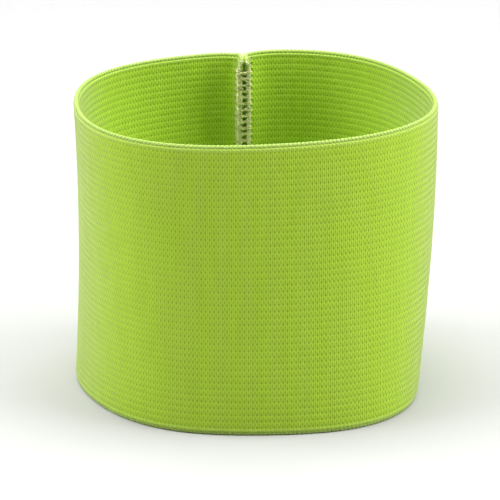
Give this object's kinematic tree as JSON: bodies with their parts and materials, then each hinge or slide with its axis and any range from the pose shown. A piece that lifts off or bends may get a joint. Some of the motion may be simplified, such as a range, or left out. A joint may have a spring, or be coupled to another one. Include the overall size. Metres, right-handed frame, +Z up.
{
  "type": "elastic armband",
  "caption": "Plain lime green loop of wide woven elastic, worn on the wrist or upper arm, with its ends overlocked in a fin seam at the back.",
  "frame": {"origin": "centre of the box round the standing loop, at the height of its lower edge", "axes": "+Z up through the loop, +Y towards the seam at the back, +X to the right as seen from the front"},
  "size_m": [0.093, 0.0888, 0.075],
  "materials": {
    "webbing": "matte ribbed elastic weave in lime green, with pale selvedges",
    "rubber": "matt natural rubber, dusted with chalk",
    "sewing_thread": "soft spun polyester in pale lime"
  },
  "bodies": {
    "root": {"elastic_webbing": "webbing", "rubber_thread_01": "rubber", "rubber_thread_02": "rubber", "rubber_thread_03": "rubber", "rubber_thread_04": "rubber", "rubber_thread_05": "rubber", "rubber_thread_06": "rubber", "rubber_thread_07": "rubber", "rubber_thread_08": "rubber", "rubber_thread_09": "rubber", "rubber_thread_10": "rubber", "rubber_thread_11": "rubber", "rubber_thread_12": "rubber", "rubber_thread_13": "rubber", "rubber_thread_14": "rubber", "rubber_thread_15": "rubber", "rubber_thread_16": "rubber", "rubber_thread_17": "rubber", "rubber_thread_18": "rubber", "rubber_thread_19": "rubber", "rubber_thread_20": "rubber", "rubber_thread_21": "rubber", "rubber_thread_22": "rubber", "rubber_thread_23": "rubber", "rubber_thread_24": "rubber", "rubber_thread_25": "rubber", "rubber_thread_26": "rubber", "rubber_thread_27": "rubber", "rubber_thread_28": "rubber", "rubber_thread_29": "rubber", "rubber_thread_30": "rubber", "rubber_thread_31": "rubber", "rubber_thread_32": "rubber", "rubber_thread_33": "rubber", "rubber_thread_34": "rubber", "rubber_thread_35": "rubber", "rubber_thread_36": "rubber", "rubber_thread_37": "rubber", "rubber_thread_38": "rubber", "rubber_thread_39": "rubber", "rubber_thread_40": "rubber", "rubber_thread_41": "rubber", "rubber_thread_42": "rubber", "rubber_thread_43": "rubber", "rubber_thread_44": "rubber", "seam_needle_thread": "sewing_thread", "seam_upper_looper_thread": "sewing_thread", "seam_lower_looper_thread": "sewing_thread"}
  },
  "joints": []
}
